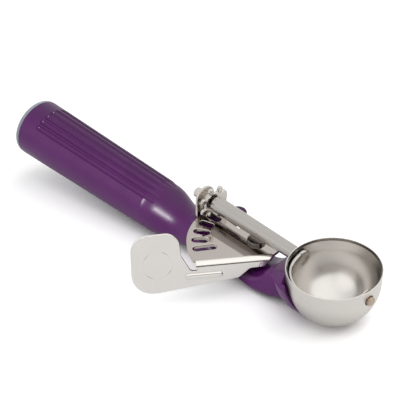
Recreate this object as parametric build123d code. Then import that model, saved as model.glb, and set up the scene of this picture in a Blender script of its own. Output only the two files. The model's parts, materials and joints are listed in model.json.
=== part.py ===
from build123d import *

import os
from math import asin, atan, cos, degrees, radians, sin, sqrt, tan

# A lever ice cream scoop: a bowl with a sweeping wiper, a spindle tube, a toothed sector lever and a
# moulded handle. Millimetres and degrees.
#
# Working frame: the origin is the centre of the bowl's sphere, X runs along the spindle from the handle
# to the front of the bowl, Y points away from the thumb paddle, and Z is the normal of the bowl's rim.
# resting() tips the finished pieces onto the surface they lie on.

# ---------------------------------------------------------------- fits shared by several pieces
RUNNING_GAP = 0.05
SIDE_GAP = 0.3
# How far a cutting tool runs past the faces that it opens.
PAST = 1.0

# ---------------------------------------------------------------- bowl
BOWL_RADIUS = 20.75
BOWL_WALL = 0.8
RIM_RISE = 5.6
RIM_FLARE = 0.35
RIM_EDGE = 0.15
RIM_BEVEL_DEPTH = 1.2
RIM_BEVEL_WIDTH = 0.4

# ---------------------------------------------------------------- spindle, its tube and bushes
SPINDLE_RADIUS = 1.5
SPINDLE_HEAD_RADIUS = 2.3
SPINDLE_HEAD_LENGTH = 4.5
SPINDLE_HEAD_EDGE = 0.3
TUBE_REAR_X = -72.2
TUBE_TO_PINION = 1.1
TUBE_REAR_RADIUS = 3.7
TUBE_FRONT_RADIUS = 3.1
TUBE_WALL = 0.7
TUBE_LIP = 0.3
BUSH_LENGTH = 6.0
BUSH_INSET = 1.0

# ---------------------------------------------------------------- wiper
BLADE_GAP = 0.5
BLADE_THICKNESS = 1.1
BLADE_EDGE = 0.3
BLADE_WIDTH = 7.0
BLADE_LUG_RADIUS = 4.0
BLADE_REST_ANGLE = 2.0
FRONT_PIN_RADIUS = 2.1
FRONT_PIN_PROUD = 1.5
FRONT_PIN_GAP = 0.4
FRONT_PIN_EDGE = 0.35

# ---------------------------------------------------------------- pinion
PINION_THICKNESS = 1.5
PINION_POSITIONS = 7
PINION_TEETH = 5
PINION_ROOT_RADIUS = 5.0
TOOTH_RADIUS = 1.4
TOOTH_RISE = 1.3
TOOTH_STEM_WIDTH = 1.9
LOBE_RADIUS = 8.3
LOBE_SPAN = 88.0
LOBE_LEAN = 16.0
LOBE_CORNER = 2.4
PINION_EDGE = 0.25
SPACER_RADIUS = 2.6

# ---------------------------------------------------------------- lever: toothed sector, fold and paddle
MESH_RADIUS = 26.95
PIVOT_Y = 0.5
PLATE_TOP = -7.15
SHEET = 1.5
PITCH_DEPTH = -0.24
SECTOR_BEYOND_MESH = 4.05
SECTOR_MARGIN = 7.2
SLOT_COUNT = 5
SLOT_FIRST_ANGLE = 4.2
SLOT_CLEARANCE = 0.35
SLOT_LENGTH = 7.3
LAST_SLOT_LENGTH = 10.8
SLOT_TO_RIM = 2.3
SLOT_EDGE = 0.4
HUB_RADIUS = 11.6
HUB_FAR_SIDE = 8.5
FOLD_DISTANCE = 11.75
FOLD_ANGLE = 54.0
FOLD_START = -3.4
FLANGE_LEAN = 14.5
BEND_INNER_RADIUS = 1.4
PADDLE_EDGE = 0.3
RIB_START = 17.0
RIB_END = 33.7
RIB_ACROSS = -5.9
RIB_WIDTH = 2.6
RIB_HEIGHT = 0.9
RIB_ROUND = 0.8
RING_ALONG = 45.7
RING_ACROSS = 1.0
RING_RADIUS = 6.5
RING_WIDTH = 0.5
RING_DEPTH = 0.2

# ---------------------------------------------------------------- lever pivot and its spring
PIVOT_RADIUS = 2.0
PIVOT_HEAD_RADIUS = 4.2
PIVOT_HEAD_HEIGHT = 1.4
PIVOT_HEAD_EDGE = 0.5
WASHER_RADIUS = 4.4
WASHER_THICKNESS = 0.8
INSERT_WALL = 1.2
INSERT_LENGTH = 7.0
BOSS_RADIUS = 4.6
SPRING_WIRE_RADIUS = 0.5
SPRING_PITCH = 1.15
SPRING_TURNS = 3.5
SPRING_DROP = 1.0
SPRING_ANCHOR_DEPTH = 2.0
SPRING_TAIL_INSET = 2.0

# ---------------------------------------------------------------- bearing bracket behind the pinion
BRACKET_SHEET = 1.2
BRACKET_GAP = 3.9
BRACKET_RADIUS = 5.3
BRACKET_EDGE = 0.2
BRACKET_BUSH_WALL = 0.9
BRACKET_BUSH_FLANGE = 0.5
THRUST_WASHER = 0.6

# ---------------------------------------------------------------- moulded handle
GRIP_SETBACK = 37.8
GRIP_LENGTH = 82.0
GRIP_AXIS_Z = -21.5
GRIP_REAR_RADIUS = 13.7
GRIP_FRONT_RADIUS = 12.4
GRIP_WALL = 3.2
GRIP_SOLID_FRONT = 8.0
GRIP_REAR_EDGE = 0.6
GROOVE_COUNT = 7
GROOVE_PITCH = 14.2
GROOVE_RADIUS = 1.35
GROOVE_DEPTH = 0.8
GROOVE_REAR_MARGIN = 10.0
GROOVE_RUN_OUT = 6.0
CAP_THICKNESS = 2.4
CAP_EDGE = 1.4
CAP_SHOULDER = 0.1
CAP_PLUG_LENGTH = 8.0
CAP_PLUG_WALL = 2.0

# Shoulder, neck and beam in front of the grip. Each station is a rounded section across the handle, given
# by its place ahead of the grip's front, its half width, its half height, the height of its centre, and how
# square it is: 2 is an ellipse, and more is nearer to a rectangle.
SHOULDER_STATIONS = (
    (6.0, 11.9, 11.9, -21.6, 2.0),
    (11.5, 10.7, 10.7, -22.0, 2.0),
    (18.0, 9.3, 9.3, -22.5, 2.0),
    (28.0, 9.5, 9.0, -21.3, 2.0),
    (40.0, 9.8, 7.2, -21.4, 2.2),
    (53.0, 10.0, 5.2, -21.6, 2.4),
)
# The same for the front of the beam and the saddle, whose places are counted back from the bowl's surface.
SADDLE_STATIONS = (
    (25.25, 10.2, 4.5, -21.5, 2.6),
    (19.25, 10.6, 4.7, -21.0, 3.2),
    (15.25, 11.0, 5.7, -19.3, 3.6),
    (11.25, 11.2, 7.6, -16.8, 3.6),
    (7.25, 11.0, 9.0, -14.8, 3.2),
    (3.25, 10.5, 9.2, -14.0, 2.6),
    (-0.75, 9.8, 9.0, -13.6, 2.2),
    (-4.75, 9.2, 8.8, -13.4, 2.0),
)
SECTION_POINTS = 20

# Cup of the saddle: a ball as large as the bowl's, set back along the spindle and cut square to the cup's
# axis, so that it wraps the back of the bowl. A groove leaves its lip standing clear of the bowl.
CUP_AXIS_DROP = 30.0
CUP_SETBACK = 8.1
CUP_LESS_THAN_BOWL = 0.25
CUP_DROP = 0.55
CUP_FRONT = 9.2
CUP_TOP = 10.8
CUP_BOTTOM = -9.5
CUP_TOP_CORNER = 2.5
CUP_BOTTOM_CORNER = 9.0
CUP_LIP = 1.2
CUP_LIP_DEPTH = 2.6

# Pedestal that carries the bracket, with the rounded wing that backs up the sector.
PEDESTAL_BEHIND_BRACKET = 3.1
PEDESTAL_LENGTH = 17.0
PEDESTAL_HALF_WIDTH = 7.0
PEDESTAL_CORNER = 2.0
WING_SETBACK = 4.0
WING_WIDTH = 8.0
WING_NEAR_Y = -13.0
WING_FAR_Y = 15.8
WING_THICKNESS = 4.0
WING_DROP = 0.8
WING_EDGE = 0.8

# Steel strap moulded into the handle and welded to the bowl.
STRAP_WIDTH = 10.0
STRAP_THICKNESS = 2.4
STRAP_BEHIND_GRIP_FRONT = 2.0
STRAP_Z = -21.4
STRAP_BEND_BEHIND_BOWL = 16.25
STRAP_KNEE_BEHIND_BOWL = 6.25
STRAP_KNEE_Z = -12.5
STRAP_NOSE_Z = -10.5

# ---------------------------------------------------------------- worked out from the sizes above
BOWL_INNER_RADIUS = BOWL_RADIUS - BOWL_WALL
BLADE_OUTER_RADIUS = BOWL_INNER_RADIUS - BLADE_GAP
BLADE_INNER_RADIUS = BLADE_OUTER_RADIUS - BLADE_THICKNESS
PINION_FRONT_X = TUBE_REAR_X - TUBE_TO_PINION
PINION_REAR_X = PINION_FRONT_X - PINION_THICKNESS
PINION_MIDDLE_X = (PINION_FRONT_X + PINION_REAR_X) / 2
BRACKET_FRONT_X = PINION_REAR_X - BRACKET_GAP
BRACKET_REAR_X = BRACKET_FRONT_X - BRACKET_SHEET
BRACKET_BUSH_RADIUS = SPINDLE_RADIUS + RUNNING_GAP + BRACKET_BUSH_WALL
FLANGE_RADIUS = SPACER_RADIUS + SIDE_GAP
THRUST_WASHER_X = BRACKET_FRONT_X + BRACKET_BUSH_FLANGE + RUNNING_GAP
SPINDLE_HEAD_X = BRACKET_REAR_X - RUNNING_GAP
SPINDLE_REAR_X = SPINDLE_HEAD_X - SPINDLE_HEAD_LENGTH
GRIP_FRONT_X = TUBE_REAR_X - GRIP_SETBACK
GRIP_REAR_X = GRIP_FRONT_X - GRIP_LENGTH
GRIP_BORE_RADIUS = GRIP_FRONT_RADIUS - GRIP_WALL
GROOVE_REAR_X = GRIP_REAR_X + GROOVE_REAR_MARGIN
GROOVE_FRONT_X = GRIP_FRONT_X + GROOVE_RUN_OUT
PEDESTAL_REAR_X = BRACKET_REAR_X - PEDESTAL_BEHIND_BRACKET
PEDESTAL_FRONT_X = PEDESTAL_REAR_X + PEDESTAL_LENGTH
WING_X = PEDESTAL_FRONT_X - WING_SETBACK
PIVOT_X = PINION_MIDDLE_X + MESH_RADIUS
PLATE_BOTTOM = PLATE_TOP - SHEET
BOSS_TOP = PLATE_BOTTOM - RUNNING_GAP - WASHER_THICKNESS
INSERT_BOTTOM = BOSS_TOP - INSERT_LENGTH
WING_TOP = PLATE_BOTTOM - WING_DROP
STRAP_TOP = STRAP_Z + STRAP_THICKNESS / 2
TOOTH_PITCH = 360.0 / PINION_POSITIONS
TOOTH_CENTRE_RADIUS = SHEET / 2 - PLATE_TOP - TOOTH_RISE
LEVER_RATIO = MESH_RADIUS / (PITCH_DEPTH - PLATE_TOP)
SLOT_PITCH = TOOTH_PITCH / LEVER_RATIO
SLOT_WIDTH = 2 * (TOOTH_RADIUS + SLOT_CLEARANCE)
SECTOR_RADIUS = MESH_RADIUS + SECTOR_BEYOND_MESH
SLOT_OUTER = SECTOR_RADIUS - SLOT_TO_RIM
BEND_ANGLE = 90.0 - FLANGE_LEAN
BEND_OUTER_RADIUS = BEND_INNER_RADIUS + SHEET
BEND_SETBACK = BEND_OUTER_RADIUS * tan(radians(BEND_ANGLE / 2))
SECTOR_NEAR_ANGLE = FOLD_ANGLE + degrees(asin(FOLD_DISTANCE / SECTOR_RADIUS))
FOLD_END = sqrt(SECTOR_RADIUS**2 - FOLD_DISTANCE**2)
BEND_START = FOLD_DISTANCE - BEND_SETBACK
HUB_END = -sqrt(HUB_RADIUS**2 - BEND_START**2)
SPRING_RADIUS = BOSS_RADIUS + SIDE_GAP + SPRING_WIRE_RADIUS
SPRING_TOP = BOSS_TOP - SPRING_DROP - SPRING_WIRE_RADIUS
SPRING_HEIGHT = SPRING_PITCH * SPRING_TURNS

# The scoop lies on its bowl and on the first station of its shoulder, so the spindle slopes to the bowl.
SHOULDER_AHEAD, _, SHOULDER_HALF_HEIGHT, SHOULDER_Z, _ = SHOULDER_STATIONS[0]
SHOULDER_LOW = Vector(GRIP_FRONT_X + SHOULDER_AHEAD, 0, SHOULDER_Z - SHOULDER_HALF_HEIGHT)
REST_SLOPE = degrees(atan(SHOULDER_LOW.Z / SHOULDER_LOW.X) - asin(BOWL_RADIUS / SHOULDER_LOW.length))

# Directions of the lever's fold: along the fold towards the paddle, and outwards across it.
FOLD_ALONG = Vector(-cos(radians(FOLD_ANGLE)), -sin(radians(FOLD_ANGLE)), 0)
FOLD_OUT = Vector(sin(radians(FOLD_ANGLE)), -cos(radians(FOLD_ANGLE)), 0)

# Slots are counted from the one in mesh, and a slot's angle runs from -X towards the paddle's side.
MESH_OFFSET_Y = PIVOT_Y - (PIVOT_X - PINION_MIDDLE_X) * tan(radians(SLOT_FIRST_ANGLE))
MESH_TOOTH_ANGLE = 270.0 + degrees(asin(MESH_OFFSET_Y / TOOTH_CENTRE_RADIUS))
# The toothless lobe takes the place of the last teeth, and leans towards the last one.
LOBE_MIDDLE_ANGLE = MESH_TOOTH_ANGLE + (PINION_POSITIONS - PINION_TEETH + 1) / 2 * TOOTH_PITCH + LOBE_LEAN


# ---------------------------------------------------------------- small helpers
def rod_along_x(start_x, end_x, radius):
    middle = Pos((start_x + end_x) / 2, 0, 0)
    return middle * Rot(0, 90, 0) * Cylinder(radius, end_x - start_x)


def cone_along_x(start_x, end_x, start_radius, end_radius):
    middle = Pos((start_x + end_x) / 2, 0, 0)
    return middle * Rot(0, 90, 0) * Cone(start_radius, end_radius, end_x - start_x)


def tube_radius(x):
    share = (x + BOWL_RADIUS) / (TUBE_REAR_X + BOWL_RADIUS)
    return TUBE_FRONT_RADIUS + share * (TUBE_REAR_RADIUS - TUBE_FRONT_RADIUS)


def tube_cone(start_x, end_x, inset):
    return cone_along_x(start_x, end_x, tube_radius(start_x) - inset, tube_radius(end_x) - inset)


def across(x, z):
    return Plane(origin=(x, 0, z), x_dir=(0, 1, 0), z_dir=(1, 0, 0))


def at_pivot(z):
    return Pos(PIVOT_X, PIVOT_Y, z)


def post(radius, bottom, top):
    return at_pivot((bottom + top) / 2) * Cylinder(radius, top - bottom)


# ---------------------------------------------------------------- bowl
def bowl_profile(radius, rim_radius, top):
    corner = Vector(radius * sin(radians(45)), -radius * cos(radians(45)))
    arc = ThreePointArc((0, -radius), corner, (radius, 0))
    wall = Polyline((radius, 0), (rim_radius, top), (0, top), (0, -radius))
    return Plane.XZ * make_face(Curve() + [arc, wall])


def bowl_envelope():
    return revolve(bowl_profile(BOWL_RADIUS, BOWL_RADIUS + RIM_FLARE, RIM_RISE), Axis.Z, 360)


def make_bowl():
    inner_rim = BOWL_RADIUS + RIM_FLARE - BOWL_WALL
    inside = revolve(bowl_profile(BOWL_INNER_RADIUS, inner_rim, RIM_RISE), Axis.Z, 360)
    bevel = Cone(inner_rim, inner_rim + RIM_BEVEL_WIDTH, RIM_BEVEL_DEPTH)
    shell = bowl_envelope() - inside - Pos(0, 0, RIM_RISE - RIM_BEVEL_DEPTH / 2) * bevel
    rim = shell.faces().sort_by(Axis.Z)[-1]
    shell = chamfer(rim.edges(), RIM_EDGE)
    rear_hole = rod_along_x(-BOWL_RADIUS - PAST, 0, SPINDLE_RADIUS + RUNNING_GAP)
    front_hole = rod_along_x(0, BOWL_RADIUS + PAST, FRONT_PIN_RADIUS + FRONT_PIN_GAP)
    return shell - rear_hole - front_hole


# ---------------------------------------------------------------- spindle group
def make_shaft_tube():
    body = tube_cone(TUBE_REAR_X, 0, 0)
    body = fillet(body.edges().sort_by(Axis.X)[0], TUBE_LIP)
    return body - tube_cone(TUBE_REAR_X - PAST, PAST, TUBE_WALL) - bowl_envelope()


def make_bush(rear_x):
    front_x = rear_x + BUSH_LENGTH
    bore = rod_along_x(rear_x - PAST, front_x + PAST, SPINDLE_RADIUS + RUNNING_GAP)
    return tube_cone(rear_x, front_x, TUBE_WALL) - bore


def make_spindle_rod():
    head = rod_along_x(SPINDLE_REAR_X, SPINDLE_HEAD_X, SPINDLE_HEAD_RADIUS)
    head = chamfer(head.edges().sort_by(Axis.X)[0], SPINDLE_HEAD_EDGE)
    return head + rod_along_x(SPINDLE_HEAD_X, -BLADE_INNER_RADIUS, SPINDLE_RADIUS)


def make_wiper_blade():
    shell = Sphere(BLADE_OUTER_RADIUS) - Sphere(BLADE_INNER_RADIUS)
    side = Pos(0, -BOWL_RADIUS / 2, 0) * Box(2 * BOWL_RADIUS, BOWL_RADIUS, BLADE_WIDTH)
    lugs = rod_along_x(-BOWL_RADIUS, BOWL_RADIUS, BLADE_LUG_RADIUS)
    blade = shell & (side + lugs)
    blade = chamfer(blade.faces().sort_by_distance((0, 0, 0))[0].edges(), BLADE_EDGE)
    blade -= rod_along_x(-BOWL_RADIUS, 0, SPINDLE_RADIUS)
    blade -= rod_along_x(0, BOWL_RADIUS, FRONT_PIN_RADIUS)
    return Rot(BLADE_REST_ANGLE, 0, 0) * blade


def make_front_pin():
    pin = rod_along_x(BLADE_INNER_RADIUS, BOWL_RADIUS + FRONT_PIN_PROUD, FRONT_PIN_RADIUS)
    return fillet(pin.edges().sort_by(Axis.X)[-1], FRONT_PIN_EDGE)


def pinion_lobe():
    reach = 2 * LOBE_RADIUS
    spread = reach * tan(radians(LOBE_SPAN / 2))
    lobe = Circle(LOBE_RADIUS) & make_face(Polyline((0, 0), (reach, -spread), (reach, spread), close=True))
    return fillet(lobe.vertices().sort_by(Axis.X)[-2:], LOBE_CORNER)


def make_pinion():
    outline = Circle(PINION_ROOT_RADIUS)
    for index in range(PINION_TEETH):
        stem = Pos(TOOTH_CENTRE_RADIUS / 2, 0) * Rectangle(TOOTH_CENTRE_RADIUS, TOOTH_STEM_WIDTH)
        tooth = stem + Pos(TOOTH_CENTRE_RADIUS, 0) * Circle(TOOTH_RADIUS)
        outline += Rot(0, 0, MESH_TOOTH_ANGLE - index * TOOTH_PITCH) * tooth
    outline += Rot(0, 0, LOBE_MIDDLE_ANGLE) * pinion_lobe()
    body = extrude(across(PINION_REAR_X, 0) * outline, PINION_THICKNESS)
    body = chamfer(body.faces().filter_by(Plane.YZ).edges(), PINION_EDGE)
    return body - rod_along_x(PINION_REAR_X - PAST, PINION_FRONT_X + PAST, SPINDLE_RADIUS)


def make_pinion_spacer():
    rear_x = THRUST_WASHER_X + THRUST_WASHER
    body = rod_along_x(rear_x, PINION_REAR_X, SPACER_RADIUS)
    return body - rod_along_x(rear_x - PAST, PINION_REAR_X + PAST, SPINDLE_RADIUS)


def make_thrust_washer():
    front_x = THRUST_WASHER_X + THRUST_WASHER
    body = rod_along_x(THRUST_WASHER_X, front_x, FLANGE_RADIUS)
    return body - rod_along_x(THRUST_WASHER_X - PAST, front_x + PAST, SPINDLE_RADIUS)


# ---------------------------------------------------------------- bearing bracket
def make_bearing_bracket():
    height = -STRAP_TOP
    outline = Circle(BRACKET_RADIUS) + Pos(0, -height / 2) * Rectangle(2 * BRACKET_RADIUS, height)
    body = extrude(across(BRACKET_REAR_X, 0) * outline, BRACKET_SHEET)
    arch = body.edges().filter_by(GeomType.CIRCLE)
    body = fillet(arch, BRACKET_EDGE)
    return body - rod_along_x(BRACKET_REAR_X - PAST, BRACKET_FRONT_X + PAST, BRACKET_BUSH_RADIUS)


def make_bracket_bush():
    sleeve = rod_along_x(BRACKET_REAR_X, BRACKET_FRONT_X, BRACKET_BUSH_RADIUS)
    flange = rod_along_x(BRACKET_FRONT_X, BRACKET_FRONT_X + BRACKET_BUSH_FLANGE, FLANGE_RADIUS)
    bore = rod_along_x(BRACKET_REAR_X - PAST, BRACKET_FRONT_X + PAST, SPINDLE_RADIUS + RUNNING_GAP)
    return sleeve + flange - bore


# ---------------------------------------------------------------- lever
def sector_point(angle, radius):
    return (-radius * cos(radians(angle)), -radius * sin(radians(angle)))


def sector_outline():
    reach = 2 * SECTOR_RADIUS
    far = SLOT_FIRST_ANGLE - SECTOR_MARGIN
    near = SECTOR_NEAR_ANGLE
    rays = [sector_point(angle, reach) for angle in (far, (far + near) / 2, near)]
    sector = Circle(SECTOR_RADIUS) & make_face(Polyline((0, 0), *rays, close=True))
    sector = fillet(sector.vertices().sort_by(Axis.Y)[-1], SLOT_WIDTH / 2)
    far_side = Pos(0, HUB_RADIUS + HUB_FAR_SIDE) * Rectangle(4 * HUB_RADIUS, 2 * HUB_RADIUS)
    fold_end = FOLD_ALONG * FOLD_END
    across_fold = FOLD_OUT * FOLD_DISTANCE
    corners = ((0, 0), (-HUB_RADIUS, 0), fold_end, fold_end + across_fold, across_fold)
    fill = make_face(Polyline(*corners, close=True))
    beyond = Rot(0, 0, FOLD_ANGLE - 90) * Pos(BEND_START + reach / 2, 0) * Rectangle(reach, 2 * reach)
    return sector + (Circle(HUB_RADIUS) - far_side) + fill - beyond


def slot_cutters():
    cutters = []
    for index in range(SLOT_COUNT):
        length = LAST_SLOT_LENGTH if index == SLOT_COUNT - 1 else SLOT_LENGTH
        angle = 180 + SLOT_FIRST_ANGLE + index * SLOT_PITCH
        slot = Pos(SLOT_OUTER - length / 2, 0) * SlotOverall(length, SLOT_WIDTH)
        cutters.append(Rot(0, 0, angle) * slot)
    return cutters


def make_sector_plate():
    outline = sector_outline()
    for slot in slot_cutters():
        outline -= slot
    outline -= Circle(PIVOT_RADIUS + RUNNING_GAP)
    plate = extrude(outline, -SHEET)
    slot_rims = plate.faces().sort_by(Axis.Z)[-1].inner_wires().sort_by(Wire.length)[1:]
    rims = [edge for wire in slot_rims for edge in wire.edges()]
    return at_pivot(PLATE_TOP) * fillet(rims, SLOT_EDGE)


def bend_end_cut():
    """What lies outside a slant from the hub's edge to the top of the paddle's near end."""
    low = PLATE_TOP - 2 * BEND_OUTER_RADIUS
    plane = Plane(origin=(PIVOT_X, PIVOT_Y, low), x_dir=FOLD_OUT, z_dir=(0, 0, 1))
    outer = BEND_START + BEND_OUTER_RADIUS
    past = outer + PAST
    corners = ((BEND_START, -HUB_END), (outer, -FOLD_START), (past, -FOLD_START), (past, -HUB_END))
    return extrude(plane * make_face(Polyline(*corners, close=True)), 3 * BEND_OUTER_RADIUS)


def make_bend():
    section_plane = Plane(origin=(PIVOT_X, PIVOT_Y, PLATE_TOP), x_dir=FOLD_OUT, z_dir=FOLD_ALONG)
    ring = Circle(BEND_OUTER_RADIUS) - Circle(BEND_INNER_RADIUS)
    reach = 2 * BEND_OUTER_RADIUS
    low_corner = (reach, reach * tan(radians(FLANGE_LEAN)))
    wedge = make_face(Polyline((0, 0), low_corner, (reach, reach), (0, reach), close=True))
    section = Pos(BEND_START, -BEND_OUTER_RADIUS) * (ring & wedge)
    bend = extrude(section_plane.offset(HUB_END) * section, FOLD_END - HUB_END)
    return bend - bend_end_cut()


def paddle_outline():
    corners = (
        ((FOLD_START, -BEND_SETBACK), 0),
        ((FOLD_START + 1.6, -BEND_SETBACK - 2.2), 1.6),
        ((4.8, -4.6), 2.5),
        ((10.0, -8.6), 3.0),
        ((FOLD_END + 17.0, -12.8), 9.0),
        ((FOLD_END + 28.6, -12.5), 9.5),
        ((FOLD_END + 28.4, 14.9), 8.0),
        ((FOLD_END + 7.4, 15.3), 6.5),
        ((FOLD_END + 6.4, 4.3), 6.0),
        ((FOLD_END + 2.2, -3.6), 2.0),
        ((FOLD_END - 1.2, -BEND_SETBACK - 1.3), 0.7),
        ((FOLD_END - 0.6, -BEND_SETBACK), 0),
    )
    points = [point for point, _ in corners]
    face = make_face(Polyline(*points, close=True))
    for point, radius in corners:
        if radius:
            vertex = face.vertices().sort_by_distance((point[0], point[1], 0))[0]
            face = fillet(vertex, radius)
    return face


def paddle_plane():
    lean = radians(FLANGE_LEAN)
    outward = FOLD_OUT * cos(lean) + Vector(0, 0, sin(lean))
    origin = Vector(PIVOT_X, PIVOT_Y, PLATE_TOP) + FOLD_OUT * FOLD_DISTANCE
    return Plane(origin=origin, x_dir=FOLD_ALONG, z_dir=-outward)


def pressed_rib():
    outline = Pos((RIB_START + RIB_END) / 2, RIB_ACROSS) * SlotOverall(RIB_END - RIB_START, RIB_WIDTH)
    rib = extrude(outline, -RIB_HEIGHT)
    return fillet(rib.faces().sort_by(Axis.Z)[0].edges(), RIB_ROUND)


def ring_mark():
    ring = Circle(RING_RADIUS + RING_WIDTH / 2) - Circle(RING_RADIUS - RING_WIDTH / 2)
    return extrude(Pos(RING_ALONG, RING_ACROSS) * ring, RING_DEPTH)


def make_paddle():
    paddle = extrude(paddle_outline(), SHEET)
    rims = paddle.edges().filter_by(Plane.XY)
    free_rims = [rim for rim in rims if abs(rim.center().Y + BEND_SETBACK) > PADDLE_EDGE]
    return paddle_plane() * (fillet(free_rims, PADDLE_EDGE) + pressed_rib() - ring_mark())


def make_lever():
    lever = make_sector_plate() + make_bend() + make_paddle()
    return lever.clean()


# ---------------------------------------------------------------- lever pivot
def make_pivot_screw():
    head_bottom = PLATE_TOP + RUNNING_GAP
    head = post(PIVOT_HEAD_RADIUS, head_bottom, head_bottom + PIVOT_HEAD_HEIGHT)
    head = fillet(head.edges().sort_by(Axis.Z)[-1], PIVOT_HEAD_EDGE)
    return head + post(PIVOT_RADIUS, INSERT_BOTTOM, head_bottom)


def make_pivot_washer():
    top = PLATE_BOTTOM - RUNNING_GAP
    return post(WASHER_RADIUS, BOSS_TOP, top) - post(PIVOT_RADIUS, BOSS_TOP - PAST, top + PAST)


def make_pivot_insert():
    bore = post(PIVOT_RADIUS, INSERT_BOTTOM - PAST, BOSS_TOP + PAST)
    return post(PIVOT_RADIUS + INSERT_WALL, INSERT_BOTTOM, BOSS_TOP) - bore


def spring_leg(radius, z, end_radius, direction):
    start = Vector(PIVOT_X, PIVOT_Y, z) + direction * radius
    return Plane(origin=start, z_dir=direction) * Cylinder(
        SPRING_WIRE_RADIUS, end_radius - radius, align=(Align.CENTER, Align.CENTER, Align.MIN)
    )


def spring_anchor():
    reach = PIVOT_X - PEDESTAL_FRONT_X + SPRING_ANCHOR_DEPTH
    return spring_leg(SPRING_RADIUS, SPRING_TOP - SPRING_HEIGHT, reach, Vector(-1, 0, 0))


def make_return_spring():
    path = Helix(SPRING_PITCH, SPRING_HEIGHT, SPRING_RADIUS)
    section = Plane(origin=path @ 0, z_dir=path % 0) * Circle(SPRING_WIRE_RADIUS)
    coil = sweep(section, path, is_frenet=True)
    coil = at_pivot(SPRING_TOP - SPRING_HEIGHT) * Rot(0, 0, 180) * coil
    end_turn = radians(180 + 360 * SPRING_TURNS)
    end_direction = Vector(cos(end_turn), sin(end_turn), 0)
    tail = spring_leg(SPRING_RADIUS, SPRING_TOP, HUB_RADIUS - SPRING_TAIL_INSET, end_direction)
    return coil + spring_anchor() + tail


# ---------------------------------------------------------------- handle
def grip_radius(x):
    share = (x - GRIP_REAR_X) / (GRIP_FRONT_X - GRIP_REAR_X)
    return GRIP_REAR_RADIUS + share * (GRIP_FRONT_RADIUS - GRIP_REAR_RADIUS)


def station_face(x, half_width, half_height, centre_z, squareness=2.0):
    if squareness == 2.0:
        return across(x, centre_z) * Ellipse(half_width, half_height)
    points = []
    for index in range(SECTION_POINTS):
        turn = radians(360 * index / SECTION_POINTS)
        reach = (abs(cos(turn)) ** squareness + abs(sin(turn)) ** squareness) ** (-1 / squareness)
        points.append((half_width * reach * cos(turn), half_height * reach * sin(turn)))
    return across(x, centre_z) * make_face(Spline(*points, periodic=True))


def station_faces():
    faces = [station_face(GRIP_FRONT_X, GRIP_FRONT_RADIUS, GRIP_FRONT_RADIUS, GRIP_AXIS_Z)]
    for ahead, *sizes in SHOULDER_STATIONS:
        faces.append(station_face(GRIP_FRONT_X + ahead, *sizes))
    for behind, *sizes in SADDLE_STATIONS:
        faces.append(station_face(-BOWL_RADIUS - behind, *sizes))
    return faces


def handle_loft():
    grip = cone_along_x(GRIP_REAR_X, GRIP_FRONT_X, GRIP_REAR_RADIUS, GRIP_FRONT_RADIUS)
    grip = fillet(grip.edges().sort_by(Axis.X)[0], GRIP_REAR_EDGE)
    return Pos(0, 0, GRIP_AXIS_Z) * grip + loft(station_faces())


def groove_cutters():
    cutters = []
    for index in range(GROOVE_COUNT):
        angle = radians((index - (GROOVE_COUNT - 1) / 2) * GROOVE_PITCH)
        outward = Vector(0, sin(angle), cos(angle))
        axis_point = Vector(0, 0, GRIP_AXIS_Z)
        offset = GROOVE_RADIUS - GROOVE_DEPTH
        rear = Vector(GROOVE_REAR_X, 0, 0) + axis_point + outward * (grip_radius(GROOVE_REAR_X) + offset)
        front = Vector(GROOVE_FRONT_X, 0, 0) + axis_point + outward * (grip_radius(GROOVE_FRONT_X) + offset)
        run = front - rear
        bar = Plane(origin=rear, z_dir=run) * Cylinder(
            GROOVE_RADIUS, run.length, align=(Align.CENTER, Align.CENTER, Align.MIN)
        )
        cutters.append(bar + Pos(rear) * Sphere(GROOVE_RADIUS))
    return cutters


def cup_ball(inset=0.0):
    return Pos(-CUP_SETBACK, 0, -CUP_DROP) * Sphere(BOWL_RADIUS - CUP_LESS_THAN_BOWL - inset)


def cup_plane():
    """The cup's front: X runs to the far side, Y up along the cut, and Z out from the bowl."""
    drop = radians(CUP_AXIS_DROP)
    outward = Vector(-cos(drop), 0, -sin(drop))
    return Plane(origin=outward * CUP_FRONT, x_dir=(0, 1, 0), z_dir=outward)


def saddle_cup():
    outline = Pos(0, (CUP_TOP + CUP_BOTTOM) / 2) * Rectangle(2 * BOWL_RADIUS, CUP_TOP - CUP_BOTTOM)
    corners = outline.vertices().sort_by(Axis.Y)
    outline = fillet(corners[:2], CUP_BOTTOM_CORNER)
    outline = fillet(outline.vertices().sort_by(Axis.Y)[-2:], CUP_TOP_CORNER)
    return cup_ball() & extrude(cup_plane() * outline, 2 * BOWL_RADIUS)


def cup_groove():
    slab = extrude(cup_plane() * Circle(2 * BOWL_RADIUS), CUP_LIP_DEPTH)
    return cup_ball(CUP_LIP) & slab


def pedestal():
    bottom = GRIP_AXIS_Z
    length = PEDESTAL_FRONT_X - PEDESTAL_REAR_X
    middle_x = (PEDESTAL_FRONT_X + PEDESTAL_REAR_X) / 2
    block_outline = RectangleRounded(length, 2 * PEDESTAL_HALF_WIDTH, PEDESTAL_CORNER)
    block = extrude(Pos(middle_x, 0, bottom) * block_outline, WING_TOP - bottom)
    wing_length = WING_FAR_Y - WING_NEAR_Y
    wing_middle = (WING_FAR_Y + WING_NEAR_Y) / 2
    wing_outline = Rot(0, 0, 90) * SlotOverall(wing_length, WING_WIDTH)
    wing = extrude(Pos(WING_X, wing_middle, WING_TOP - WING_THICKNESS) * wing_outline, WING_THICKNESS)
    body = block + wing
    return fillet(body.faces().sort_by(Axis.Z)[-1].edges(), WING_EDGE)


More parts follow.
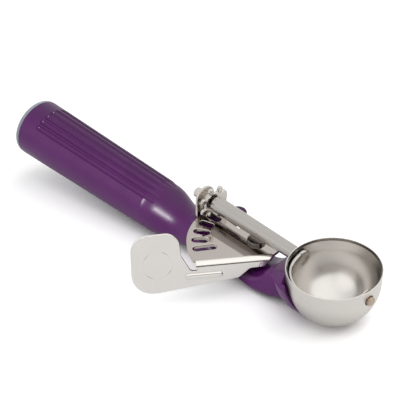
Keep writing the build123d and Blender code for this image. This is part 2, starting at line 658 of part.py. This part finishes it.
def make_core_strap():
    rear = (GRIP_FRONT_X - STRAP_BEHIND_GRIP_FRONT, STRAP_Z)
    bend = (-BOWL_RADIUS - STRAP_BEND_BEHIND_BOWL, STRAP_Z)
    knee = (-BOWL_RADIUS - STRAP_KNEE_BEHIND_BOWL, STRAP_KNEE_Z)
    nose = (-BOWL_RADIUS / 2, STRAP_NOSE_Z)
    profile = offset(Polyline(rear, bend, knee, nose), STRAP_THICKNESS / 2, side=Side.BOTH)
    body = extrude(Plane.XZ * make_face(profile), STRAP_WIDTH / 2, both=True)
    return body - bowl_envelope()


def make_handle_frame():
    body = handle_loft()
    for cutter in groove_cutters():
        body -= cutter
    body += saddle_cup()
    body += pedestal()
    body += post(BOSS_RADIUS, GRIP_AXIS_Z, BOSS_TOP)
    body -= cup_groove()
    body -= bowl_envelope()
    body -= tube_cone(TUBE_REAR_X, 0, -SIDE_GAP)
    bore = rod_along_x(GRIP_REAR_X - PAST, GRIP_FRONT_X - GRIP_SOLID_FRONT, GRIP_BORE_RADIUS)
    body -= Pos(0, 0, GRIP_AXIS_Z) * bore
    body -= make_core_strap()
    bracket_slot = across(BRACKET_REAR_X, STRAP_TOP / 2) * Rectangle(2 * BRACKET_RADIUS, -STRAP_TOP)
    body -= extrude(bracket_slot, BRACKET_SHEET)
    body -= post(PIVOT_RADIUS + INSERT_WALL, INSERT_BOTTOM, BOSS_TOP + PAST)
    body -= spring_anchor()
    return body.clean()


def make_end_cap():
    disc = rod_along_x(GRIP_REAR_X - CAP_THICKNESS, GRIP_REAR_X, GRIP_REAR_RADIUS - CAP_SHOULDER)
    disc = fillet(disc.edges().sort_by(Axis.X)[0], CAP_EDGE)
    plug_end = GRIP_REAR_X + CAP_PLUG_LENGTH
    plug = rod_along_x(GRIP_REAR_X, plug_end, GRIP_BORE_RADIUS)
    hollow = rod_along_x(GRIP_REAR_X, plug_end + PAST, GRIP_BORE_RADIUS - CAP_PLUG_WALL)
    return Pos(0, 0, GRIP_AXIS_Z) * (disc + plug - hollow)


# ---------------------------------------------------------------- the whole scoop
def make_parts():
    return {
        "bowl": make_bowl(),
        "shaft_tube": make_shaft_tube(),
        "front_bush": make_bush(-BOWL_RADIUS - BUSH_INSET - BUSH_LENGTH),
        "rear_bush": make_bush(TUBE_REAR_X + BUSH_INSET),
        "spindle_rod": make_spindle_rod(),
        "wiper_blade": make_wiper_blade(),
        "front_pin": make_front_pin(),
        "pinion": make_pinion(),
        "pinion_spacer": make_pinion_spacer(),
        "thrust_washer": make_thrust_washer(),
        "bearing_bracket": make_bearing_bracket(),
        "bracket_bush": make_bracket_bush(),
        "lever": make_lever(),
        "pivot_screw": make_pivot_screw(),
        "pivot_washer": make_pivot_washer(),
        "pivot_insert": make_pivot_insert(),
        "return_spring": make_return_spring(),
        "core_strap": make_core_strap(),
        "handle_frame": make_handle_frame(),
        "end_cap": make_end_cap(),
    }


def resting(parts):
    tipped = {name: Rot(0, REST_SLOPE, 0) * part for name, part in parts.items()}
    boxes = [part.bounding_box() for part in tipped.values()]
    middle_x = (min(box.min.X for box in boxes) + max(box.max.X for box in boxes)) / 2
    middle_y = (min(box.min.Y for box in boxes) + max(box.max.Y for box in boxes)) / 2
    floor_z = min(box.min.Z for box in boxes)
    placing = Pos(-middle_x, -middle_y, -floor_z)
    return {name: placing * part for name, part in tipped.items()}, placing * Rot(0, REST_SLOPE, 0)


def main():
    os.makedirs("parts", exist_ok=True)
    parts, placing = resting(make_parts())
    for name, part in parts.items():
        export_step(part, f"parts/{name}.step")
    for label, point in (("bowl centre", (0, 0, 0)), ("lever pivot", (PIVOT_X, PIVOT_Y, PLATE_TOP))):
        print(label, (placing * Pos(*point)).position)


main()
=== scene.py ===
import json
from math import cos, radians, sin

import bpy
from mathutils import Euler, Matrix, Vector

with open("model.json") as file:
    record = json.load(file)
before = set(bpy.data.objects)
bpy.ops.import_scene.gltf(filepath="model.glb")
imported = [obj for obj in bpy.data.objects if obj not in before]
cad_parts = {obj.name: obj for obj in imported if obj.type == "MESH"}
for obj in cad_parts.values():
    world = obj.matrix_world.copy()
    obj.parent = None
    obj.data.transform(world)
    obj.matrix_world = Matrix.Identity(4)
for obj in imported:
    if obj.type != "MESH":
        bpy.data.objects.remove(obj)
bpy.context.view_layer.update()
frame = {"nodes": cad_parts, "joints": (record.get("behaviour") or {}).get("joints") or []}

# A lever ice cream scoop lying on a white table. Metres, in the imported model's frame.

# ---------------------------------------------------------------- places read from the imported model
JOINTS = {joint["name"]: joint for joint in frame["joints"]}
BOWL_CENTRE = Vector(JOINTS["wiper_turn"]["pos_m"])
SPINDLE_AXIS = Vector(JOINTS["wiper_turn"]["axis"]).normalized()
PIVOT = Vector(JOINTS["lever_press"]["pos_m"])
PIVOT_AXIS = Vector(JOINTS["lever_press"]["axis"]).normalized()
RIM_NORMAL = -PIVOT_AXIS
ACROSS = RIM_NORMAL.cross(SPINDLE_AXIS)


def to_spindle(point):
    """A point in the spindle's frame: from the bowl's centre along the spindle, across it, and upwards."""
    offset = point - BOWL_CENTRE
    return Vector((offset.dot(SPINDLE_AXIS), offset.dot(ACROSS), offset.dot(RIM_NORMAL)))


def direction(azimuth, elevation=0.0):
    """Unit vector. Azimuth 0 is towards -y and grows towards +x; elevation grows towards +z."""
    return (sin(azimuth) * cos(elevation), -cos(azimuth) * cos(elevation), sin(elevation))


# ---------------------------------------------------------------- camera
IMAGE_SIDE = 416
SENSOR_WIDTH = 36.0
CAMERA_FOCAL_PIXELS = 2524.1
CAMERA_AIM = Vector((0.004595, 0.020758, 0.020))
CAMERA_DISTANCE = 1.13835
CAMERA_AZIMUTH = radians(48.929)
CAMERA_ELEVATION = radians(33.202)
CAMERA_ROLL = radians(-5.616)
CAMERA_NEAR = 0.05
CAMERA_FAR = 20.0


def make_camera():
    data = bpy.data.cameras.new("camera")
    data.sensor_width = SENSOR_WIDTH
    data.lens = CAMERA_FOCAL_PIXELS * SENSOR_WIDTH / IMAGE_SIDE
    data.clip_start = CAMERA_NEAR
    data.clip_end = CAMERA_FAR
    camera = bpy.data.objects.new("camera", data)
    bpy.context.scene.collection.objects.link(camera)
    back = Vector(direction(CAMERA_AZIMUTH, CAMERA_ELEVATION))
    turn = back.to_track_quat("Z", "Y")
    roll = Euler((0, 0, CAMERA_ROLL)).to_quaternion()
    camera.rotation_mode = "QUATERNION"
    camera.rotation_quaternion = turn @ roll
    camera.location = CAMERA_AIM + back * CAMERA_DISTANCE
    bpy.context.scene.camera = camera


# ---------------------------------------------------------------- shader helpers
# The owner of a node is the material or the world that it is made for.

# The first input, second input and output of a Mix node, whose sockets share their names.
MIX_SOCKETS = {"FLOAT": (2, 3, 0), "RGBA": (6, 7, 2)}


def add_node(owner, kind, **settings):
    node = owner.node_tree.nodes.new(kind)
    for key, value in settings.items():
        setattr(node, key, value)
    return node


def feed(owner, value, socket):
    """Link a node's output to a socket, or set the socket to a plain number, vector or colour."""
    if isinstance(value, bpy.types.NodeSocket):
        owner.node_tree.links.new(value, socket)
    elif socket.type == "RGBA":
        socket.default_value = (*value, 1.0)
    else:
        socket.default_value = value


def shader_of(material):
    return material.node_tree.nodes["Principled BSDF"]


def new_material(name, **sockets):
    """A material whose shader has the named sockets set, with _ for each space in a name."""
    material = bpy.data.materials.new(name)
    material.use_nodes = True
    for socket, value in sockets.items():
        feed(material, value, shader_of(material).inputs[socket.replace("_", " ")])
    return material


def set_surface(material, colour, rough):
    shader = shader_of(material)
    feed(material, colour, shader.inputs["Base Color"])
    feed(material, rough, shader.inputs["Roughness"])


def bump(material, height, strength, depth):
    node = add_node(material, "ShaderNodeBump")
    feed(material, strength, node.inputs["Strength"])
    feed(material, depth, node.inputs["Distance"])
    feed(material, height, node.inputs["Height"])
    feed(material, node.outputs["Normal"], shader_of(material).inputs["Normal"])


def place(owner, stretch=(1, 1, 1)):
    """Position in the spindle's frame, with its axes scaled by stretch."""
    turn = add_node(owner, "ShaderNodeMapping", vector_type="TEXTURE")
    axes = Matrix((SPINDLE_AXIS, ACROSS, RIM_NORMAL)).transposed()
    feed(owner, BOWL_CENTRE, turn.inputs["Location"])
    feed(owner, axes.to_euler(), turn.inputs["Rotation"])
    feed(owner, add_node(owner, "ShaderNodeTexCoord").outputs["Object"], turn.inputs["Vector"])
    scaled = add_node(owner, "ShaderNodeMapping", vector_type="POINT")
    feed(owner, stretch, scaled.inputs["Scale"])
    feed(owner, turn.outputs["Vector"], scaled.inputs["Vector"])
    return scaled.outputs["Vector"]


def split(owner, position):
    """The X, Y and Z of a position."""
    node = add_node(owner, "ShaderNodeSeparateXYZ")
    feed(owner, position, node.inputs[0])
    return node.outputs


def noise(owner, position, scale, detail=3.0, rough=0.5):
    """Smooth random values, mostly in NOISE_SPREAD."""
    node = add_node(owner, "ShaderNodeTexNoise")
    feed(owner, scale, node.inputs["Scale"])
    feed(owner, detail, node.inputs["Detail"])
    feed(owner, rough, node.inputs["Roughness"])
    feed(owner, position, node.inputs["Vector"])
    return node.outputs["Fac"]


def remap(owner, value, source, target=(0.0, 1.0), smooth=False):
    """Spread the source range over the target range, and hold the target's ends beyond it."""
    node = add_node(owner, "ShaderNodeMapRange")
    if smooth:
        node.interpolation_type = "SMOOTHSTEP"
    names = ("From Min", "From Max", "To Min", "To Max")
    for name, end in zip(names, (*source, *target)):
        feed(owner, end, node.inputs[name])
    feed(owner, value, node.inputs["Value"])
    return node.outputs["Result"]


def combine(owner, operation, first, second=0.0):
    node = add_node(owner, "ShaderNodeMath", operation=operation)
    feed(owner, first, node.inputs[0])
    feed(owner, second, node.inputs[1])
    return node.outputs["Value"]


def mix(owner, data_type, factor, first, second):
    """The first input where the factor is 0, and the second where it is 1."""
    node = add_node(owner, "ShaderNodeMix", data_type=data_type)
    first_socket, second_socket, output = MIX_SOCKETS[data_type]
    feed(owner, factor, node.inputs["Factor"])
    feed(owner, first, node.inputs[first_socket])
    feed(owner, second, node.inputs[second_socket])
    return node.outputs[output]


def mix_value(owner, factor, first, second):
    return mix(owner, "FLOAT", factor, first, second)


def mix_colour(owner, factor, first, second):
    return mix(owner, "RGBA", factor, first, second)


def along(owner, position, towards, origin=(0, 0, 0)):
    """Distance of a position from the origin, measured along a direction."""
    shift = add_node(owner, "ShaderNodeVectorMath", operation="SUBTRACT")
    feed(owner, position, shift.inputs[0])
    feed(owner, origin, shift.inputs[1])
    dot = add_node(owner, "ShaderNodeVectorMath", operation="DOT_PRODUCT")
    feed(owner, shift.outputs["Vector"], dot.inputs[0])
    feed(owner, towards, dot.inputs[1])
    return dot.outputs["Value"]


def length(owner, parts):
    """Root of the sum of the squares of the parts."""
    total = 0.0
    for part in parts:
        total = combine(owner, "ADD", combine(owner, "MULTIPLY", part, part), total)
    return combine(owner, "SQRT", total)


# ---------------------------------------------------------------- materials
# Colours
STEEL_WARM = (0.63, 0.595, 0.56)
PADDLE_STEEL = (0.77, 0.745, 0.72)
PADDLE_DULL = (0.72, 0.695, 0.665)
TUBE_STEEL = (0.47, 0.445, 0.42)
# Painted reflection: the lever's plate made darker, standing in for the tube's shaded underside it mirrors
PLATE_PAINTED_REFLECTION = (0.47, 0.43, 0.40)
# Painted shade: the pivot screw's steel made near-black where the lever's shade and dark reflections fall
SCREW_PAINTED_SHADE = (0.16, 0.145, 0.135)
BUSH_METAL = (0.46, 0.42, 0.36)
# Painted reflection: the front pin's steel tinted warm brown, as it looks when it mirrors warm surroundings
PIN_PAINTED_REFLECTION = (0.50, 0.40, 0.31)
BOWL_INSIDE = (0.64, 0.62, 0.595)
BOWL_OUTSIDE = (0.70, 0.67, 0.635)
# Painted dark reflection on the rim's inner bevel, which is the bowl's own steel
BOWL_RIM_PAINTED_REFLECTION = (0.30, 0.28, 0.26)
PURPLE = (0.042, 0.0018, 0.052)
PURPLE_WORN = (0.054, 0.0045, 0.066)
GREY = (0.38, 0.40, 0.45)
CLOUD_SHADE = 0.92

# Roughness, from where its noise is low to where it is high
BOWL_INSIDE_ROUGH = (0.20, 0.24)
BOWL_OUTSIDE_ROUGH = (0.30, 0.40)
RIM_ROUGH = 0.07
PLATE_ROUGH = (0.04, 0.09)
PADDLE_ROUGH = (0.10, 0.16)
PURPLE_ROUGH = (0.30, 0.36)
GREY_ROUGH = (0.35, 0.50)

# Range that most of a noise's values are in, and the same for the mean of two noises
NOISE_SPREAD = (0.3, 0.7)
MEAN_SPREAD = (0.35, 0.65)

# Noises, whose scale is in cells per metre
GRAIN = {"detail": 6.0, "rough": 0.65}
STEEL_CLOUDS = {"scale": 90.0}
BOWL_GRAIN = {"scale": 1400.0, "detail": 5.0, "rough": 0.6}
BOWL_MARKS = {"scale": 1800.0, "detail": 4.0, "rough": 0.6}
BOWL_CLOUDS = {"scale": 60.0, "detail": 4.0}
PADDLE_GRAIN = {"scale": 900.0, **GRAIN}
LEVER_CLOUDS = {"scale": 120.0, "detail": 4.0}
PURPLE_PEBBLE = {"scale": 2600.0, "detail": 2.0}
PURPLE_CLOUDS = {"scale": 70.0, "detail": 5.0, "rough": 0.6}
GREY_PEBBLE = {"scale": 2400.0, "detail": 2.0}
GREY_CLOUDS = {"scale": 120.0, "detail": 4.0}

# The axes are along the spindle, across it and upwards. Grain runs along those that are stretched least.
GRAIN_DEPTH = 0.00002
DRAWN_STRETCH = (0.12, 1, 1)
TURNED_STRETCH = (1, 0.2, 0.2)
SHEET_STRETCH = (1, 1, 0.25)
BLADE_STRETCH = (0.3, 1, 1)
BOWL_STRETCH = (1, 1, 6)
PADDLE_STRETCH = (1.2, 1.2, 9.0)
BOWL_RELIEF = 0.08
PADDLE_RELIEF = 0.08

# Plastic
PLASTIC_DEPTH = 0.00003
PLASTIC_RELIEF = 0.10
PURPLE_IOR = 1.46
PURPLE_SPECULAR = 0.37
GREY_IOR = 1.48
HANDLED_SPREAD = (0.45, 0.75)
HANDLED_MOST = 0.55

# The finish inside the bowl gives way to the one outside between two radii. The rim stands above the
# centre, and its bevel is the last of the inside below it.
BOWL_INNER = 0.0202
BOWL_OUTER = 0.0205
RIM_RISE = 0.0056
RIM_FLARE = 0.00035
RIM_BEVEL_DEPTH = 0.0012
RIM_BLUR = 0.0001

# The lever's plate ends at the fold, whose direction from the pivot is given in the spindle's frame. The
# plate's finish and its painted reflection give way to the paddle's between two distances that way, and
# between two heights.
FOLD_OUT = (0.809, -0.588, 0.0)
PLATE_END = 0.0095
PADDLE_START = 0.0104
PLATE_HEIGHT = -0.0067
PLATE_CLEAR = -0.0062


def clouded(material, clouds, colour):
    """The colour, a little darker where the clouds are low."""
    darker = tuple(channel * CLOUD_SHADE for channel in colour)
    return mix_colour(material, clouds, darker, colour)


def steel(name, colour, rough, grain, relief, stretch=(1, 1, 1)):
    """Metal with grain of so many cells per metre, which varies its roughness and stands out by relief."""
    material = new_material(name, Metallic=1.0)
    streaks = noise(material, place(material, stretch), grain, **GRAIN)
    clouds = noise(material, place(material), **STEEL_CLOUDS)
    set_surface(material, clouded(material, clouds, colour), remap(material, streaks, NOISE_SPREAD, rough))
    bump(material, streaks, relief, GRAIN_DEPTH)
    return material


def ring_position(material, position):
    """Distances along the spindle and from it. Noise on them makes rings, as the wiper does."""
    x, y, z = split(material, position)
    rings = add_node(material, "ShaderNodeCombineXYZ")
    feed(material, x, rings.inputs["X"])
    feed(material, length(material, (y, z)), rings.inputs["Y"])
    return rings.outputs["Vector"]


def bowl_radius(material, position):
    """Distance from the centre below it, and from the bowl's axis above it, less the rim's flare."""
    x, y, z = split(material, position)
    below = combine(material, "MINIMUM", z, 0.0)
    above = combine(material, "MAXIMUM", z, 0.0)
    flare = combine(material, "MULTIPLY", above, RIM_FLARE / RIM_RISE)
    return combine(material, "SUBTRACT", length(material, (x, y, below)), flare)


def bowl_steel():
    """Satin outside, polished inside with faint wiper marks, and a polished inner bevel on the rim with a
    painted dark reflection.
    """
    material = new_material("bowl_steel", Metallic=1.0)
    position = place(material)
    radius = bowl_radius(material, position)
    outside = remap(material, radius, (BOWL_INNER, BOWL_OUTER), smooth=True)
    inside = combine(material, "SUBTRACT", 1.0, outside)
    bevel_foot = RIM_RISE - RIM_BEVEL_DEPTH
    raised = remap(material, split(material, position)["Z"], (bevel_foot - RIM_BLUR, bevel_foot))
    bevel = combine(material, "MULTIPLY", raised, inside)

    fine = noise(material, place(material, BOWL_STRETCH), **BOWL_GRAIN)
    marks = noise(material, ring_position(material, position), **BOWL_MARKS)
    clouds = noise(material, position, **BOWL_CLOUDS)
    worn = combine(material, "MULTIPLY", combine(material, "ADD", marks, clouds), 0.5)
    rough = remap(material, worn, MEAN_SPREAD, BOWL_INSIDE_ROUGH)
    rough = mix_value(material, bevel, rough, RIM_ROUGH)
    rough = mix_value(material, outside, rough, remap(material, fine, NOISE_SPREAD, BOWL_OUTSIDE_ROUGH))
    # The rim's inner bevel gets a painted dark reflection.
    colour = mix_colour(material, bevel, BOWL_INSIDE, BOWL_RIM_PAINTED_REFLECTION)
    colour = mix_colour(material, outside, colour, BOWL_OUTSIDE)
    set_surface(material, colour, rough)
    bump(material, combine(material, "MULTIPLY", outside, fine), BOWL_RELIEF, GRAIN_DEPTH)
    return material


def lever_steel():
    """A sector plate that is nearly a mirror, darker with a painted reflection of the tube's shaded
    underside, and a brushed fold and paddle beyond it and above it.
    """
    material = new_material("lever_steel", Metallic=1.0)
    position = place(material)
    out = along(material, position, FOLD_OUT, to_spindle(PIVOT))
    beyond = remap(material, out, (PLATE_END, PADDLE_START), smooth=True)
    above = remap(material, split(material, position)["Z"], (PLATE_HEIGHT, PLATE_CLEAR))
    on_paddle = combine(material, "MAXIMUM", beyond, above)

    brushed = noise(material, place(material, PADDLE_STRETCH), **PADDLE_GRAIN)
    clouds = noise(material, position, **LEVER_CLOUDS)
    plate_rough = remap(material, clouds, NOISE_SPREAD, PLATE_ROUGH)
    paddle_rough = remap(material, brushed, NOISE_SPREAD, PADDLE_ROUGH)
    rough = mix_value(material, on_paddle, plate_rough, paddle_rough)
    paddle_colour = mix_colour(material, clouds, PADDLE_DULL, PADDLE_STEEL)
    # The plate's darker colour is a painted reflection of the tube's shaded underside.
    colour = mix_colour(material, on_paddle, PLATE_PAINTED_REFLECTION, paddle_colour)
    set_surface(material, colour, rough)
    bump(material, brushed, PADDLE_RELIEF, GRAIN_DEPTH)
    return material


def purple_plastic():
    """Moulded plastic: fine pebble, cloudy gloss, and a paler colour in patches."""
    material = new_material("purple_plastic", IOR=PURPLE_IOR, Specular_IOR_Level=PURPLE_SPECULAR)
    position = place(material)
    pebble = noise(material, position, **PURPLE_PEBBLE)
    clouds = noise(material, position, **PURPLE_CLOUDS)
    handled = remap(material, clouds, HANDLED_SPREAD, (0.0, HANDLED_MOST))
    colour = mix_colour(material, handled, PURPLE, PURPLE_WORN)
    set_surface(material, colour, remap(material, clouds, NOISE_SPREAD, PURPLE_ROUGH))
    bump(material, pebble, PLASTIC_RELIEF, PLASTIC_DEPTH)
    return material


def grey_plastic():
    """Moulded plastic: fine pebble and cloudy gloss."""
    material = new_material("grey_plastic", IOR=GREY_IOR)
    position = place(material)
    pebble = noise(material, position, **GREY_PEBBLE)
    clouds = noise(material, position, **GREY_CLOUDS)
    colour = clouded(material, clouds, GREY)
    set_surface(material, colour, remap(material, clouds, NOISE_SPREAD, GREY_ROUGH))
    bump(material, pebble, PLASTIC_RELIEF, PLASTIC_DEPTH)
    return material


def dress_nodes():
    tube = steel("tube_steel", TUBE_STEEL, (0.20, 0.26), grain=500.0, relief=0.06, stretch=DRAWN_STRETCH)
    turned = steel("turned_steel", STEEL_WARM, (0.14, 0.24), grain=900.0, relief=0.10, stretch=TURNED_STRETCH)
    # The front pin's brown tint is a painted warm reflection on plain steel.
    pin = steel("pin_painted_reflection", PIN_PAINTED_REFLECTION, (0.22, 0.32), grain=900.0, relief=0.10)
    # Painted shade on the pivot screw, which is plain steel.
    dark = steel("screw_painted_shade", SCREW_PAINTED_SHADE, (0.12, 0.22), grain=900.0, relief=0.08)
    sheet = steel("sheet_steel", STEEL_WARM, (0.12, 0.22), grain=700.0, relief=0.08, stretch=SHEET_STRETCH)
    bronze = steel("bronze", BUSH_METAL, (0.30, 0.42), grain=1200.0, relief=0.12)
    wire = steel("spring_wire", STEEL_WARM, (0.30, 0.40), grain=1200.0, relief=0.15)
    blade = steel("blade_steel", STEEL_WARM, (0.08, 0.15), grain=700.0, relief=0.05, stretch=BLADE_STRETCH)
    bowl = bowl_steel()
    lever = lever_steel()
    purple = purple_plastic()
    grey = grey_plastic()
    finish = {
        "bowl": bowl,
        "shaft_tube": tube,
        "front_bush": bronze,
        "rear_bush": bronze,
        "spindle_rod": turned,
        "wiper_blade": blade,
        "front_pin": pin,
        "pinion": sheet,
        "pinion_spacer": turned,
        "thrust_washer": bronze,
        "bearing_bracket": sheet,
        "bracket_bush": bronze,
        "lever": lever,
        "pivot_screw": dark,
        "pivot_washer": bronze,
        "pivot_insert": bronze,
        "return_spring": wire,
        "core_strap": sheet,
        "handle_frame": purple,
        "end_cap": grey,
    }
    for name, node in frame["nodes"].items():
        node.data.materials.clear()
        node.data.materials.append(finish[name])


# ---------------------------------------------------------------- floor
# White paper. It glows for the camera, except close to the scoop, where the real soft shadow stays and the
# glow fades with ambient occlusion as painted shade, and a little for the metal that mirrors it.
WHITE = (1.0, 1.0, 1.0)
FLOOR_SIDE = 6.0
FLOOR_COLOUR = (0.92, 0.92, 0.92)
FLOOR_ROUGH = 0.9
FLOOR_LIFT = 0.43
FLOOR_LIFT_IN_METAL = 0.10
FLOOR_NEAR = 0.02
FLOOR_NEAR_DARK = 0.20
FLOOR_NEAR_CLEAR = 0.50
FLOOR_NEAR_SAMPLES = 8


def floor_paper():
    material = new_material(
        "floor_paper",
        Base_Color=FLOOR_COLOUR,
        Roughness=FLOOR_ROUGH,
        Specular_IOR_Level=0.0,
        Emission_Color=WHITE,
    )
    rays = add_node(material, "ShaderNodeLightPath").outputs
    near = add_node(material, "ShaderNodeAmbientOcclusion", samples=FLOOR_NEAR_SAMPLES)
    feed(material, FLOOR_NEAR, near.inputs["Distance"])
    clear_of_scoop = (FLOOR_NEAR_DARK, FLOOR_NEAR_CLEAR)
    # Painted shade: the glow fades where ambient occlusion finds the scoop close by, deepening its real
    # shadow.
    open_floor = remap(material, near.outputs["AO"], clear_of_scoop, (0.0, FLOOR_LIFT))
    direct = combine(material, "MULTIPLY", rays["Is Camera Ray"], open_floor)
    mirrored = combine(material, "MULTIPLY", rays["Is Glossy Ray"], FLOOR_LIFT_IN_METAL)
    lift = combine(material, "MAXIMUM", direct, mirrored)
    feed(material, lift, shader_of(material).inputs["Emission Strength"])
    return material


def make_floor():
    mesh = bpy.data.meshes.new("floor")
    half = FLOOR_SIDE / 2
    corners = [(-half, -half, 0), (half, -half, 0), (half, half, 0), (-half, half, 0)]
    mesh.from_pydata(corners, [], [(0, 1, 2, 3)])
    mesh.materials.append(floor_paper())
    floor = bpy.data.objects.new("floor", mesh)
    bpy.context.scene.collection.objects.link(floor)


# ---------------------------------------------------------------- studio
# The studio is a white tent, brightest on one side, with a softbox by its opening. Polished metal also sees
# the room, a dark strip above the horizon on the open side. Each part fades in between two cosines.
WORLD_GREY = (0.52, 0.52, 0.52)
TENT_DIM = WHITE
TENT_BRIGHT = (1.38, 1.37, 1.35)
TENT_AZIMUTH = radians(112)
TENT_ELEVATION = radians(45)
TENT_FADE = (0.2, 1.0)
ROOM = (0.16, 0.145, 0.13)
ROOM_AZIMUTH = radians(52)
ROOM_FADE = (-sin(radians(28)), -sin(radians(17)))
ROOM_SIDE_FADE = (cos(radians(72)), cos(radians(40)))
SOFTBOX = (1.42, 1.40, 1.37)
SOFTBOX_AZIMUTH = radians(5)
SOFTBOX_ELEVATION = radians(33)
SOFTBOX_FADE = (cos(radians(36)), cos(radians(12)))
DOWN = (0, 0, -1)

LIGHT_AIM = Vector((0.0, 0.0, 0.02))
OVERHEAD_PLACE = (0.35, 0.45, 1.1)
OVERHEAD_SIZE = (1.5, 1.5)
OVERHEAD_WATTS = 9.5
STRIP_PLACE = (0.037, -1.068, 0.545)
STRIP_SIZE = (0.55, 0.30)
STRIP_WATTS = 20.0


def facing(world, towards, fade):
    """How far the sky lies in a direction: fade gives the cosines where it is 0 and where it is 1."""
    sky = add_node(world, "ShaderNodeTexCoord").outputs["Generated"]
    return remap(world, along(world, sky, towards), fade, smooth=True)


def make_world():
    world = bpy.data.worlds.new("studio")
    bpy.context.scene.world = world
    world.use_nodes = True
    bright = facing(world, direction(TENT_AZIMUTH, TENT_ELEVATION), TENT_FADE)
    low = facing(world, DOWN, ROOM_FADE)
    side = facing(world, direction(ROOM_AZIMUTH), ROOM_SIDE_FADE)
    softbox = facing(world, direction(SOFTBOX_AZIMUTH, SOFTBOX_ELEVATION), SOFTBOX_FADE)

    tent = mix_colour(world, bright, TENT_DIM, TENT_BRIGHT)
    studio = mix_colour(world, combine(world, "MULTIPLY", low, side), tent, ROOM)
    studio = mix_colour(world, softbox, studio, SOFTBOX)
    rays = add_node(world, "ShaderNodeLightPath").outputs
    seen = mix_colour(world, rays["Is Glossy Ray"], WORLD_GREY, studio)
    seen = mix_colour(world, rays["Is Camera Ray"], seen, WHITE)
    seen = mix_colour(world, rays["Is Transmission Ray"], seen, WHITE)
    feed(world, seen, world.node_tree.nodes["Background"].inputs["Color"])


def area_light(name, place_at, size, watts):
    data = bpy.data.lights.new(name, "AREA")
    data.shape = "RECTANGLE"
    data.size, data.size_y = size
    data.energy = watts
    light = bpy.data.objects.new(name, data)
    bpy.context.scene.collection.objects.link(light)
    light.location = place_at
    light.rotation_mode = "QUATERNION"
    light.rotation_quaternion = (Vector(place_at) - LIGHT_AIM).to_track_quat("Z", "Y")
    return light


def make_lights():
    """A soft overhead light, and a strip that lights the handle alone and draws its highlight."""
    overhead = area_light("overhead", OVERHEAD_PLACE, OVERHEAD_SIZE, OVERHEAD_WATTS)
    overhead.visible_glossy = False
    strip = area_light("strip", STRIP_PLACE, STRIP_SIZE, STRIP_WATTS)
    lit = bpy.data.collections.new("lit_by_strip")
    lit.objects.link(frame["nodes"]["handle_frame"])
    strip.light_linking.receiver_collection = lit


make_camera()
dress_nodes()
make_world()
make_lights()
make_floor()

bpy.context.scene.view_settings.view_transform = "Standard"
